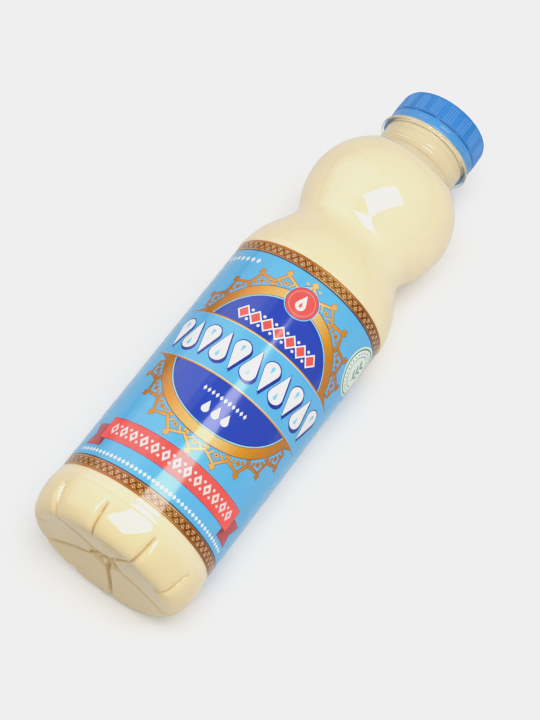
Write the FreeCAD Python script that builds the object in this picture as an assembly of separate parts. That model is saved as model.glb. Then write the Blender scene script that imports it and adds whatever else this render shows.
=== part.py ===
import FreeCAD, Part
import math
import os

# Clear one-litre-class squeeze bottle of sweetened condensed milk, lying on its
# side: blown shell, filling, wrap-round label and tamper-evident screw cap.
# Millimetres.  The bottle is first built about a vertical axis z, foot plane at
# z = 0; a direction around the axis is the azimuth psi, 0 at the top of the
# lying bottle and growing towards +X.  It is then laid along +Y.
V = FreeCAD.Vector

# ------------------------------------------------------------ driving dimensions
R_LABEL = 35.2          # outside radius of the label
T_LABEL = 0.15          # label film, with its glue
LABEL_Z0 = 20.6         # lower edge of the label above the foot
LABEL_H = 118.4         # height of the label
PANEL_GAP = 0.15        # the recessed panel runs this far past each label edge

R_BUMPER = 36.1         # widest ring of the base
Z_BUMPER = 14.6         # where the heel curve reaches it
HEEL_A = 6.5            # heel: radial half-axis
HEEL_B = 14.6           # heel: axial half-axis
HEEL_N = 1.87           # heel: exponent of the superellipse
R_BAND = 35.6           # narrow band between bumper and label
R_LIP = 35.4            # lip under the label
DISH_R = 24.0           # dished underside: radius and height
DISH_H = 2.6
GATE_R = 1.7            # moulding gate stub
GATE_H = 0.5

R_BEAD = 35.5           # bead over the label
BEAD_TOP = 141.8

BALL_Z = 190.3          # ball: centre height, radius, lower and upper half-axes
BALL_R = 32.4
BALL_LOW = 33.0
BALL_UP = 29.6

R_NECK = 18.7           # bare neck under the transfer ring
R_FINISH = 17.9         # neck finish inside the cap
R_BORE = 16.4
R_RING = 21.1           # transfer ring
RING_Z0 = 224.2
RING_T = 1.6
MOUTH_Z = 239.8

WALL_BASE = 0.8         # wall of the blown shell
WALL_BODY = 0.5
FILL_Z = 236.5          # level of the filling

CAP_R = 20.15           # tamper band and foot of the skirt
CAP_R_TOP = 19.8        # skirt just under the rounded rim
CAP_Z0 = 226.2
SLIT_Z0 = 230.35
SLIT_H = 0.7
CAP_TOP = 241.1
CAP_RIM = 0.9           # rounding of the rim
CAP_PLATE = CAP_TOP - MOUTH_Z
CAP_IN = 18.9           # inside radius of band and skirt
N_BRIDGES = 12          # break-off bridges between skirt and band
BRIDGE_DEG = 4.6
N_GROUPS = 18           # groups of fine grip ribs
RIBS_PER_GROUP = 4
RIB_STEP_DEG = 3.0
RIB_DEG = 1.5
RIB_H = 0.22

TURN = 16.1             # azimuth of the label's front
FIRST_VALLEY = TURN + 14.0
N_LOBES = 10            # lobes of the base
GROOVE_HALF = 0.35      # half-width of a groove at its bottom
GROOVE_SLOPE = math.tan(math.radians(34))
GROOVE_REACH = 9.0

FLAT = 0.26             # depth of the two small flats it lies on


# ------------------------------------------------------------ helper functions
def heel(k, n, drop=0.0):
    """Point k of n on the heel, 0 at the foot, n at the bumper."""
    t = math.pi / 2 * k / n
    r = R_BUMPER - HEEL_A + HEEL_A * math.sin(t) ** (2 / HEEL_N)
    z = Z_BUMPER - HEEL_B * math.cos(t) ** (2 / HEEL_N)
    nr, nz = math.sin(t), -math.cos(t)
    return r - drop * nr, z - drop * nz


def dish(r, lift=0.0):
    return lift + DISH_H * math.cos(math.pi * r / (2 * DISH_R)) ** 2


SHOULDER = ((142.3, 35.35), (145.6, 34.7), (149.1, 33.75), (152.6, 32.4),
            (156.1, 30.65), (159.6, 28.75), (163.2, 27.0), (166.2, 26.2),
            (168.8, 26.15), (171.2, 26.8))      # height, radius


def ball(z):
    half = BALL_LOW if z < BALL_Z else BALL_UP
    return BALL_R * math.sqrt(1 - ((z - BALL_Z) / half) ** 2)


def upper_points(drop=0.0):
    """Shoulder, waist and ball, from the bead to the neck."""
    pts = [(r, z) for z, r in SHOULDER]
    n = 10
    for k in range(n + 1):
        z = 174.4 + (211.6 - 174.4) * k / n
        pts.append((ball(z), z))
    pts.append((20.0, 213.7))
    out = []
    for i, (r, z) in enumerate(pts):
        a, b = pts[max(i - 1, 0)], pts[min(i + 1, len(pts) - 1)]
        dr, dz = b[0] - a[0], b[1] - a[1]
        s = math.hypot(dr, dz)
        out.append((r - drop * dz / s, z + drop * dr / s))
    return out


def vec(p):
    return V(p[0], 0, p[1])


def line(a, b):
    return Part.LineSegment(vec(a), vec(b)).toShape()


def lines(pts):
    return [line(a, b) for a, b in zip(pts, pts[1:])]


def curve(pts, start=None, end=None):
    c = Part.BSplineCurve()
    if start is not None:
        c.interpolate(Points=[vec(p) for p in pts], InitialTangent=start, FinalTangent=end)
    else:
        c.interpolate([vec(p) for p in pts])
    return c.toShape()


def revolve(edges, deg=360, start=0):
    face = Part.Face(Part.Wire(edges))
    solid = face.revolve(V(0, 0, 0), V(0, 0, 1), deg)
    if start:
        solid.rotate(V(0, 0, 0), V(0, 0, 1), start)
    return solid if solid.Volume > 0 else solid.reversed()


def sector(r0, r1, z0, z1, mid_psi, deg):
    """Block of a ring, centred on azimuth mid_psi."""
    box = lines([(r0, z0), (r1, z0), (r1, z1), (r0, z1), (r0, z0)])
    return revolve(box, deg, mid_psi - 90 - deg / 2)


def turned(shape, psi):
    """The xz half-plane x > 0 stands for azimuth 90; psi runs with the rotation."""
    s = shape.copy()
    s.rotate(V(0, 0, 0), V(0, 0, 1), psi - 90)
    return s


# ------------------------------------------------------------ base grooves
def cutter(ridge, drop):
    """Open V channel along a ridge line (r, z, outward angle in degrees)."""
    rings = []
    for r, z, ang in ridge:
        nr, nz = math.cos(math.radians(ang)), math.sin(math.radians(ang))
        p = (r - drop * nr, z - drop * nz)
        q = (p[0] + GROOVE_REACH * nr, p[1] + GROOVE_REACH * nz)
        w0 = GROOVE_HALF
        w1 = GROOVE_HALF + GROOVE_REACH * GROOVE_SLOPE
        rings.append([V(p[0], -w0, p[1]), V(p[0], w0, p[1]),
                      V(q[0], w1, q[1]), V(q[0], -w1, q[1])])
    tris = []

    def tri(a, b, c):
        tris.append(Part.Face(Part.makePolygon([a, b, c, a])))

    for a, b in zip(rings, rings[1:]):
        for k in range(4):
            m = (k + 1) % 4
            tri(a[k], a[m], b[m])
            tri(a[k], b[m], b[k])
    for end in (rings[0], rings[-1]):
        tri(end[0], end[1], end[2])
        tri(end[0], end[2], end[3])
    solid = Part.makeSolid(Part.makeShell(tris))
    if solid.Volume < 0:
        solid.reverse()
    return solid


VALLEY = ((36.9, 12.2, 0), (34.8, 9.8, -15), (33.1, 6.4, -40), (30.9, 3.9, -62),
          (27.4, 2.7, -85), (17.5, 3.0, -90), (3.6, 3.25, -90))
NOTCH = ((36.9, 12.2, 0), (34.8, 9.8, -15), (33.2, 6.4, -30), (31.7, 3.1, -42),
         (30.6, -0.6, -50))


def grooved(body, drop):
    cuts = []
    for k in range(N_LOBES):
        psi = FIRST_VALLEY + 360.0 / N_LOBES * k
        cuts.append(turned(cutter(VALLEY if k % 2 == 0 else NOTCH, drop), psi))
    return body.cut(cuts)


# ------------------------------------------------------------ shell and filling
def outer_body():
    zt = LABEL_Z0 + LABEL_H
    panel = R_LABEL - T_LABEL
    e = []
    z_gate = dish(GATE_R) - GATE_H
    e += lines([(0, z_gate), (GATE_R - 0.3, z_gate), (GATE_R, dish(GATE_R))])
    n = 7
    e.append(curve([(r, dish(r)) for r in
                    [GATE_R + (DISH_R - GATE_R) * k / n for k in range(n + 1)]]))
    e.append(line((DISH_R, dish(DISH_R)), heel(0, 9)))
    e.append(curve([heel(k, 9) for k in range(10)]))
    e += lines([heel(9, 9), (R_BUMPER, Z_BUMPER + 0.7), (R_BAND + 0.05, Z_BUMPER + 1.3),
                (R_BAND, Z_BUMPER + 3.6), (R_LIP, Z_BUMPER + 4.0),
                (R_LIP, LABEL_Z0 - PANEL_GAP - 0.2), (panel, LABEL_Z0 - PANEL_GAP),
                (panel, zt + PANEL_GAP), (R_BEAD, zt + PANEL_GAP + 0.3),
                (R_BEAD, BEAD_TOP)])
    up = upper_points()
    e.append(line((R_BEAD, BEAD_TOP), up[0]))
    e.append(curve(up))
    rt = RING_Z0 + RING_T
    e += lines([up[-1], (R_NECK + 0.25, 214.6), (R_NECK, 215.6), (R_NECK, RING_Z0),
                (R_RING - 0.5, RING_Z0 + 0.15), (R_RING, RING_Z0 + 0.6),
                (R_RING, rt - 0.55), (R_RING - 0.4, rt), (R_FINISH, rt),
                (R_FINISH, MOUTH_Z), (0, MOUTH_Z), (0, z_gate)])
    return revolve(e)


def inner_body(top):
    w, b = WALL_BODY, WALL_BASE
    zt = LABEL_Z0 + LABEL_H
    panel = R_LABEL - T_LABEL - w
    e = []
    n = 7
    e.append(curve([(r, dish(r, b)) for r in [DISH_R * k / n for k in range(n + 1)]]))
    e.append(line((DISH_R, dish(DISH_R, b)), heel(0, 9, b)))
    e.append(curve([heel(k, 9, b) for k in range(10)]))
    up = upper_points(w)
    e += lines([heel(9, 9, b), (R_BUMPER - b, Z_BUMPER + 0.5), (R_BAND - w, Z_BUMPER + 1.3),
                (R_BAND - w, Z_BUMPER + 3.4), (R_LIP - w, Z_BUMPER + 4.0),
                (R_LIP - w, LABEL_Z0 - PANEL_GAP - 0.4), (panel, LABEL_Z0 - PANEL_GAP - 0.1),
                (panel, zt + PANEL_GAP + 0.1), (R_BEAD - w - 0.1, zt + PANEL_GAP + 0.5),
                (R_BEAD - w - 0.1, BEAD_TOP), up[0]])
    e.append(curve(up))
    e += lines([up[-1], (R_NECK - 1.1, 214.6), (R_NECK - 1.5, 216.0), (R_BORE, 221.0),
                (R_BORE, top), (0, top), (0, dish(0, b))])
    return revolve(e)


outer = grooved(outer_body(), 0.0)
cavity = grooved(inner_body(MOUTH_Z + 1.0), WALL_BASE)
milk = cavity.common(Part.makeCylinder(60, FILL_Z))
shell = outer.cut(cavity)

# ------------------------------------------------------------ label
label = Part.makeCylinder(R_LABEL, LABEL_H, V(0, 0, LABEL_Z0)).cut(
    Part.makeCylinder(R_LABEL - T_LABEL, LABEL_H, V(0, 0, LABEL_Z0)))


# ------------------------------------------------------------ cap
def skirt_r(z):
    f = (z - SLIT_Z0) / (CAP_TOP - CAP_RIM - SLIT_Z0)
    return CAP_R + (CAP_R_TOP - CAP_R) * max(f, 0)


def make_cap():
    rim_z = CAP_TOP - CAP_RIM
    c = CAP_RIM * (1 - math.sqrt(0.5))
    arc = Part.Arc(vec((CAP_R_TOP, rim_z)), vec((CAP_R_TOP - c, CAP_TOP - c)),
                   vec((CAP_R_TOP - CAP_RIM, CAP_TOP))).toShape()
    e = lines([(CAP_IN, CAP_Z0), (CAP_R - 0.3, CAP_Z0), (CAP_R, CAP_Z0 + 0.3),
               (CAP_R, SLIT_Z0), (CAP_R_TOP, rim_z)])
    e.append(arc)
    e += lines([(CAP_R_TOP - CAP_RIM, CAP_TOP), (0, CAP_TOP), (0, CAP_TOP - CAP_PLATE),
                (CAP_IN - 0.4, CAP_TOP - CAP_PLATE), (CAP_IN, CAP_TOP - CAP_PLATE - 0.4),
                (CAP_IN, CAP_Z0)])
    cap = revolve(e)
    pitch = 360.0 / N_BRIDGES
    slits = [sector(CAP_IN - 1, CAP_R + 2, SLIT_Z0, SLIT_Z0 + SLIT_H,
                    TURN - 12 + pitch * (k + 0.5), pitch - BRIDGE_DEG)
             for k in range(N_BRIDGES)]
    cap = cap.cut(slits)
    ribs = []
    z0, z1 = SLIT_Z0 + SLIT_H + 1.0, rim_z - 0.1
    for g in range(N_GROUPS):
        for k in range(RIBS_PER_GROUP):
            psi = TURN - 0.7 + 360.0 / N_GROUPS * g + RIB_STEP_DEG * (k - (RIBS_PER_GROUP - 1) / 2)
            e = lines([(CAP_IN + 0.3, z0), (skirt_r(z0) + RIB_H * 0.2, z0),
                       (skirt_r(z0) + RIB_H, z0 + 0.5), (skirt_r(z1) + RIB_H, z1 - 0.4),
                       (skirt_r(z1) - 0.05, z1), (CAP_IN + 0.3, z1), (CAP_IN + 0.3, z0)])
            ribs.append(revolve(e, RIB_DEG, psi - 90 - RIB_DEG / 2))
    return cap.fuse(ribs)


cap = make_cap()

# ------------------------------------------------------------ laid on its side
# The bumper and the bead touch the ground together, so the axis dips slightly
# towards the cap; a small flat is worn into each.
z_b, z_s = Z_BUMPER + 0.35, (LABEL_Z0 + LABEL_H + BEAD_TOP) / 2
tilt = math.atan2(R_BUMPER - R_BEAD, z_s - z_b)
rise = R_BUMPER * math.cos(tilt) + z_b * math.sin(tilt) - FLAT
lay = FreeCAD.Placement(V(0, 0, rise), FreeCAD.Rotation(V(1, 0, 0), -90 - math.degrees(tilt)))


def laid(shape):
    s = shape.copy()
    s.Placement = lay.multiply(s.Placement)
    return s


parts = {"bottle_shell": laid(shell), "condensed_milk": laid(milk),
         "label": laid(label), "screw_cap": laid(cap)}

ground = Part.makeBox(400, 600, 50, V(-200, -200, -50))
parts["bottle_shell"] = parts["bottle_shell"].cut(ground)

boxes = [p.optimalBoundingBox(False, False) for p in parts.values()]
y0, y1 = min(b.YMin for b in boxes), max(b.YMax for b in boxes)
os.makedirs("parts", exist_ok=True)
for name, shape in parts.items():
    shape.translate(V(0, -(y0 + y1) / 2, 0))
    if shape.ShapeType != "Solid" and len(shape.Solids) == 1:
        shape = shape.Solids[0]
    bb = shape.optimalBoundingBox(False, False)
    print(name, shape.ShapeType, len(shape.Solids), "valid", shape.isValid(), "cm3 %.2f" % (shape.Volume / 1000),
          "x %.2f %.2f y %.2f %.2f z %.2f %.2f" % (bb.XMin, bb.XMax, bb.YMin, bb.YMax, bb.ZMin, bb.ZMax))
    shape.exportStep("parts/%s.step" % name)
print("tilt deg %.3f rise %.3f shift %.3f" % (math.degrees(tilt), rise, -(y0 + y1) / 2))
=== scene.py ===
import bpy
import math
import random
import numpy as np
from mathutils import Vector, Matrix
from mathutils.geometry import delaunay_2d_cdt


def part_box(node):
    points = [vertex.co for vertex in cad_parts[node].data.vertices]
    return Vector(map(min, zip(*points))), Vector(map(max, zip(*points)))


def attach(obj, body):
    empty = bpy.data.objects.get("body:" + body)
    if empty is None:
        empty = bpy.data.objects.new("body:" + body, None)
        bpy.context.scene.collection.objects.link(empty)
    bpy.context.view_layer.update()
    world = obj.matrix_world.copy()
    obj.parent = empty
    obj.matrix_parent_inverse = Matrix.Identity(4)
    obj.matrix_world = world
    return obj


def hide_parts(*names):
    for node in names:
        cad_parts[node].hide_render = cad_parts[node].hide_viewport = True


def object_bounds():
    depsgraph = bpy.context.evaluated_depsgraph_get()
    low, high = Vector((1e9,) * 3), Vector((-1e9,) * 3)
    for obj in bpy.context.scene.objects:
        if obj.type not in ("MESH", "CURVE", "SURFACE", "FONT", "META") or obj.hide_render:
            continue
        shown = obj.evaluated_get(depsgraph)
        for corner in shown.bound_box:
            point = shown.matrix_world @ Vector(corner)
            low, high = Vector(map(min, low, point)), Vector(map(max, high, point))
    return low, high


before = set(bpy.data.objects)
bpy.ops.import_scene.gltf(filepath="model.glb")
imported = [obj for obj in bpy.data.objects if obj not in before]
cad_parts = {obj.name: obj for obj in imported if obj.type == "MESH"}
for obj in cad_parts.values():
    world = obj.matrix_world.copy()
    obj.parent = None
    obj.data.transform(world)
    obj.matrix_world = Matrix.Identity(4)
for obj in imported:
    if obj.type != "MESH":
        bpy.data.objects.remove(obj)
cad_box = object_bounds()
random.seed(7)

# ------------------------------------------------------------------ sizes, mm
# The same named sizes as the construction; z is the height over the foot, and
# psi the azimuth about the bottle's axis, 0 at the top of the lying bottle.
R_LABEL, T_LABEL, LABEL_Z0, LABEL_H, PANEL_GAP = 35.2, 0.15, 20.6, 118.4, 0.15
R_BUMPER, Z_BUMPER, HEEL_A, HEEL_B, HEEL_N = 36.1, 14.6, 7.6, 14.6, 2.3
R_BAND, R_LIP, DISH_H, HUB_R, HUB_H = 35.6, 35.4, 2.7, 7.2, 0.75
R_BEAD, BEAD_TOP = 35.5, 141.8
BALL_Z, BALL_R, BALL_LOW, BALL_UP = 190.3, 32.4, 33.0, 29.6
R_NECK, R_FINISH, R_BORE, R_RING = 18.7, 17.9, 16.4, 21.1
RING_Z0, RING_T, MOUTH_Z = 224.2, 1.6, 239.8
WALL_BASE, WALL_BODY, FILL_Z = 0.5, 0.5, 236.5
CAP_R, CAP_R_TOP, CAP_Z0, SLIT_Z0, SLIT_H = 20.15, 19.8, 226.2, 230.35, 0.7
CAP_TOP, CAP_RIM, CAP_IN = 241.1, 0.9, 18.9
TURN = 16.1
N_LOBES = 10
FIRST_VALLEY = TURN + 15.8
CORE_R, CORE_Z = 19.0, 10.0      # the grooves are pressed in towards this ring
FLAT = 0.26
SINK = 0.13             # how far the filling reaches into the wall

z_b, z_s = Z_BUMPER + 0.35, (LABEL_Z0 + LABEL_H + BEAD_TOP) / 2
TILT = math.atan2(R_BUMPER - R_BEAD, z_s - z_b)
RISE = R_BUMPER * math.cos(TILT) + z_b * math.sin(TILT) - FLAT
lab_lo, lab_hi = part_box("label")
SHIFT = (lab_lo.y + lab_hi.y) * 500 - (LABEL_Z0 + LABEL_H / 2) * math.cos(TILT)
CT, ST = math.cos(TILT), math.sin(TILT)
TOP = cad_box[1][2] * 1000       # nothing rises over the construction


def place(r, psi, z):
    """Point at radius r, azimuth psi (radians), height z (mm) -> row frame, metres."""
    up = r * math.cos(psi)
    return (r * math.sin(psi) / 1000, (up * ST + z * CT + SHIFT) / 1000,
            min(max(up * CT - z * ST + RISE, 0.0), TOP) / 1000)


def place_np(r, psi, z):
    up = r * np.cos(psi)
    return np.stack([r * np.sin(psi), up * ST + z * CT + SHIFT,
                     np.clip(up * CT - z * ST + RISE, 0.0, TOP)], -1) / 1000


def smooth(a, b, x):
    t = min(max((x - a) / (b - a), 0.0), 1.0)
    return t * t * (3 - 2 * t)


# ------------------------------------------------------------------ node help
class Mat:
    def __init__(self, name):
        self.m = bpy.data.materials.new(name)
        self.m.use_nodes = True
        self.nt = self.m.node_tree
        self.b = self.nt.nodes["Principled BSDF"]

    def n(self, kind, **kw):
        node = self.nt.nodes.new(kind)
        for k, v in kw.items():
            setattr(node, k, v)
        return node

    def link(self, a, b):
        self.nt.links.new(a, b)

    def set(self, **kw):
        for k, v in kw.items():
            self.b.inputs[k.replace("_", " ")].default_value = v
        return self

    def coord(self):
        return self.n("ShaderNodeTexCoord").outputs["Object"]

    def noise(self, scale, detail=3, rough=0.5, vec=None, stretch=None):
        t = self.n("ShaderNodeTexNoise")
        t.inputs["Scale"].default_value = scale
        t.inputs["Detail"].default_value = detail
        t.inputs["Roughness"].default_value = rough
        src = vec or self.coord()
        if stretch:
            mp = self.n("ShaderNodeMapping")
            mp.inputs["Scale"].default_value = stretch
            self.link(src, mp.inputs["Vector"])
            src = mp.outputs["Vector"]
        self.link(src, t.inputs["Vector"])
        return t.outputs["Fac"]

    def ramp(self, fac, stops, mode="LINEAR"):
        r = self.n("ShaderNodeValToRGB")
        r.color_ramp.interpolation = mode
        els = r.color_ramp.elements
        while len(els) < len(stops):
            els.new(0.5)
        for e, (p, c) in zip(els, stops):
            e.position = p
            e.color = (*c, 1) if len(c) == 3 else c
        self.link(fac, r.inputs["Fac"])
        return r.outputs["Color"]

    def mix(self, fac, a, b, mode="MIX"):
        m = self.n("ShaderNodeMix", data_type="RGBA", blend_type=mode)
        for sock, v in ((m.inputs["Factor"], fac), (m.inputs["A"], a), (m.inputs["B"], b)):
            if hasattr(v, "links"):
                self.link(v, sock)
            elif isinstance(v, (int, float)):
                sock.default_value = v
            else:
                sock.default_value = (*v, 1)
        return m.outputs["Result"]

    def math(self, op, a, b=None):
        m = self.n("ShaderNodeMath", operation=op)
        for sock, v in zip(m.inputs, (a, b)):
            if v is None:
                continue
            if hasattr(v, "links"):
                self.link(v, sock)
            else:
                sock.default_value = v
        return m.outputs[0]

    def bump(self, height, strength, dist):
        b = self.n("ShaderNodeBump")
        b.inputs["Strength"].default_value = strength
        b.inputs["Distance"].default_value = dist
        self.link(height, b.inputs["Height"])
        self.link(b.outputs["Normal"], self.b.inputs["Normal"])
        return b

    def color(self, sock):
        self.link(sock, self.b.inputs["Base Color"])

    def rough(self, fac, lo, hi):
        m = self.n("ShaderNodeMapRange")
        m.inputs["To Min"].default_value = lo
        m.inputs["To Max"].default_value = hi
        self.link(fac, m.inputs["Value"])
        self.link(m.outputs["Result"], self.b.inputs["Roughness"])


# ------------------------------------------------------------------ mesh help
def new_object(name, verts, faces, mats, mat_index=None, smooth_faces=True):
    me = bpy.data.meshes.new(name)
    me.from_pydata(verts, [], faces)
    for m in mats:
        me.materials.append(m)
    if mat_index is not None:
        me.polygons.foreach_set("material_index", mat_index)
    me.polygons.foreach_set("use_smooth", [smooth_faces] * len(me.polygons))
    me.validate()
    me.update()
    ob = bpy.data.objects.new(name, me)
    bpy.context.scene.collection.objects.link(ob)
    return ob


def round_path(pts, seg=5):
    """Polyline of (a, b, radius): each inner corner becomes an arc of that radius."""
    out = [pts[0][:2]]
    for p0, p1, p2 in zip(pts, pts[1:], pts[2:]):
        r = p1[2] if len(p1) > 2 else 0
        if r <= 0:
            out.append(p1[:2])
            continue
        a = Vector((p0[0] - p1[0], p0[1] - p1[1]))
        b = Vector((p2[0] - p1[0], p2[1] - p1[1]))
        la, lb = a.length, b.length
        a.normalize(), b.normalize()
        half = a.angle(b) / 2
        d = min(r / math.tan(half), la * 0.49, lb * 0.49)
        r = d * math.tan(half)
        c = Vector(p1[:2]) + (a + b).normalized() * (r / math.sin(half))
        s, e = Vector(p1[:2]) + a * d - c, Vector(p1[:2]) + b * d - c
        a0 = math.atan2(s.y, s.x)
        da = (math.atan2(e.y, e.x) - a0 + math.pi) % (2 * math.pi) - math.pi
        for k in range(seg + 1):
            t = a0 + da * k / seg
            out.append((c.x + r * math.cos(t), c.y + r * math.sin(t)))
    out.append(pts[-1][:2])
    return out


# ------------------------------------------------------------------ bottle body
def heel(t):
    r = R_BUMPER - HEEL_A + HEEL_A * math.sin(t) ** (2 / HEEL_N)
    z = Z_BUMPER - HEEL_B * math.cos(t) ** (2 / HEEL_N)
    return r, z


def foot():
    """Where the heel, cut off a little over its end, meets the ground."""
    pts = [heel(math.pi / 2 * k / 56) for k in range(57)]
    up = [c for c in pts if c[1] > 0.28]
    (ra, za), (rb, zb) = up[0], up[1]
    return ra - za * (rb - ra) / (zb - za) * 1.1, up


FOOT_R, HEEL_PTS = foot()


def dish(r):
    """Height of the underside: a shallow dome over the foot, and a hub pushed up in the middle."""
    z = DISH_H * (1 - (r / FOOT_R) ** 2) + HUB_H * (1 - smooth(HUB_R - 0.5, HUB_R + 0.5, r))
    return z - 0.32 * math.exp(-((r - 3.7) / 0.42) ** 2)


SHOULDER = ((142.3, 35.35), (145.6, 34.7), (149.1, 33.75), (152.6, 32.4),
            (156.1, 30.65), (159.6, 28.75), (163.2, 27.0), (166.2, 26.2),
            (168.8, 26.15), (171.2, 26.8))


def ball(z):
    half = BALL_LOW if z < BALL_Z else BALL_UP
    return BALL_R * math.sqrt(1 - ((z - BALL_Z) / half) ** 2)


def spline(pts, n):
    """Catmull-Rom through pts, n points to each span."""
    out = []
    p = [tuple(2 * a - b for a, b in zip(pts[0], pts[1]))] + list(pts) + \
        [tuple(2 * a - b for a, b in zip(pts[-1], pts[-2]))]
    for i in range(1, len(p) - 2):
        for k in range(n):
            t = k / n
            out.append(tuple(
                0.5 * (2 * b + (c - a) * t + (2 * a - 5 * b + 4 * c - d) * t * t +
                       (3 * b - a - 3 * c + d) * t ** 3)
                for a, b, c, d in zip(p[i - 1], p[i], p[i + 1], p[i + 2])))
    out.append(pts[-1])
    return out


def band_r(z):
    """Bumper, two steps, lip and the recess that the label lies in."""
    zt = LABEL_Z0 + LABEL_H
    r = R_BUMPER + (R_BAND - R_BUMPER) * smooth(Z_BUMPER + 0.55, Z_BUMPER + 1.35, z)
    r += (R_LIP - R_BAND) * smooth(Z_BUMPER + 3.45, Z_BUMPER + 4.0, z)
    r += 0.025 * math.exp(-((z - Z_BUMPER - 2.5) / 0.7) ** 2)
    r += (R_LABEL - T_LABEL - R_LIP) * smooth(LABEL_Z0 - 0.4, LABEL_Z0 - 0.12, z)
    r += (R_BEAD - R_LABEL + T_LABEL) * smooth(zt + 0.12, zt + 0.45, z)
    return r


def meridian():
    """Outer profile as (r, z, wall) from the middle of the base to the mouth."""
    m = []
    gate = round_path([(0, dish(1.7) - 0.5, 0), (1.25, dish(1.7) - 0.5, 0.25),
                       (1.7, dish(1.7) + 0.02, 0.3), (2.4, dish(2.4), 0)], 3)
    m += [(r, z, WALL_BASE) for r, z in gate]
    for r in (2.8, 3.1, 3.3, 3.5, 3.7, 3.9, 4.1, 4.3, 4.7, 5.4, 6.2, 6.7, 6.88, 7.0, 7.1, 7.2, 7.3, 7.4,
              7.52, 7.7, 8.1, 8.8, 9.8, 11.0, 12.4, 14.0, 15.6, 17.2, 18.8, 20.4, 22.0, 23.4, 24.6, 25.6,
              26.4, 27.1, 27.7, 28.1, 28.4):
        m.append((r, dish(r), WALL_BASE))
    corner = round_path([(m[-1][0], m[-1][1], 0), (FOOT_R, 0.0, 0.6), (*HEEL_PTS[0], 0)], 6)
    m += [(r, max(z, 0.0), WALL_BASE) for r, z in corner[1:]]
    m += [(r, z, WALL_BASE) for r, z in HEEL_PTS[1:] if r < R_BUMPER or z > 14.5]
    z = Z_BUMPER
    while z < LABEL_Z0 + 0.4:
        z += 0.14
        m.append((band_r(z), z, WALL_BASE + (WALL_BODY - WALL_BASE) * smooth(15, 20, z)))
    zt = LABEL_Z0 + LABEL_H
    for k in range(1, 12):
        z = LABEL_Z0 + 0.6 + (LABEL_H - 1.0) * k / 12
        m.append((R_LABEL - T_LABEL, z, WALL_BODY))
    z = zt - 0.1
    while z < zt + 0.6:
        m.append((band_r(z), z, WALL_BODY))
        z += 0.09
    pts = [(R_BEAD, zt + 0.7), (R_BEAD + 0.02, zt + 1.6), (R_BEAD, zt + 2.5)]
    pts += [(r, z) for z, r in SHOULDER]
    pts += [(ball(174.4 + 3.72 * k), 174.4 + 3.72 * k) for k in range(11)]
    pts += [(20.15, 213.55)]
    m += [(r, z, WALL_BODY) for r, z in spline(pts, 4)]
    rt = RING_Z0 + RING_T
    neck = round_path([
        (20.15, 213.55, 0), (19.2, 214.35, 1.2), (R_NECK, 216.2, 2.0), (R_NECK, 216.9, 0.3),
        (R_NECK + 0.07, 217.25, 0.3), (R_NECK + 0.07, 217.6, 0.3), (R_NECK, 217.95, 0.3), (R_NECK, 218.7, 0.3),
        (R_NECK + 0.05, 219.0, 0.3), (R_NECK + 0.05, 219.3, 0.3), (R_NECK - 0.04, 219.65, 0.3),
        (R_NECK - 0.08, 222.3, 0.3), (R_NECK - 0.03, RING_Z0, 0.35),
        (R_RING - 0.35, RING_Z0 + 0.15, 0.35), (R_RING, RING_Z0 + 0.6, 0.35),
        (R_RING, rt - 0.5, 0.45), (R_RING - 0.45, rt, 0.4), (R_FINISH, rt, 0.3),
        (R_FINISH, MOUTH_Z, 0.4), (17.0, MOUTH_Z, 0)], 4)
    for r, z in neck[1:]:
        m.append((r, z, None))
    return m


def press(r, z):
    """Direction in which the grooves are pressed in."""
    p, q = min(CORE_R - r, 0.0), max(CORE_Z - z, 0.0)
    t = math.hypot(p, q)
    return (p / t, q / t) if t > 0 else (-1.0, 0.0)


def groove(r, z, main, x):
    """How deep the groove is at the distance x (array) to either side of its line."""
    if z > 12.6:
        return np.zeros_like(x)
    # side wall and heel: a sharp crease between flared sides, closing towards the foot
    on = smooth(12.6, 11.4, z) * (1.45 + 0.5 * smooth(11.6, 7.0, z))
    w = 2.4 + 1.3 * smooth(12.0, 5.5, z) - 0.9 * smooth(4.5, 0.5, z)
    g = on * np.clip(1.035 - np.sqrt((x / w) ** 2 + 0.0012), 0, 1) ** 2.6
    m = smooth(27.4, 29.2, r) if z < 3 else 1.0
    if m >= 1:
        return g
    # underside: a narrow channel with crisp edges
    if main:
        d = 0.35 + 1.2 * smooth(5.5, 8.4, r)
        w = min(1.25 + 0.35 * smooth(24.0, 29.0, r), 0.24 * r)
        c = d * np.clip((w - x) / 0.5, 0, 1) * smooth(4.0, 6.4, r)
    else:
        c = 0.3 * smooth(25.0, 29.0, r) * np.clip((1.3 - x) / 0.9, 0, 1)
    return m * g + (1 - m) * c


SPREAD = (0, 0.25, 0.5, 0.8, 1.15, 1.55, 2.0, 2.5, 3.05, 3.65, 4.35, 5.2, 6.2, 7.4, 8.9, 10.8, 13.0, 15.4, 18)


def azimuths():
    half = SPREAD[1:]
    out = []
    for k in range(N_LOBES):
        c = FIRST_VALLEY + 36.0 * k
        out += [c - a for a in half[::-1]] + [c + a for a in SPREAD[:-1]]
    return np.radians(np.array(out))


PSI = azimuths()


def dent(psi, r, z):
    """How far the wall is pressed in at azimuths psi."""
    total = np.zeros_like(psi)
    if z > 12.6:
        return total
    for k in range(N_LOBES):
        a = (psi - math.radians(FIRST_VALLEY + 36.0 * k) + math.pi) % (2 * math.pi) - math.pi
        total = np.maximum(total, groove(r, z, k % 2 == 0, np.abs(a) * r))
    return total


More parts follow.
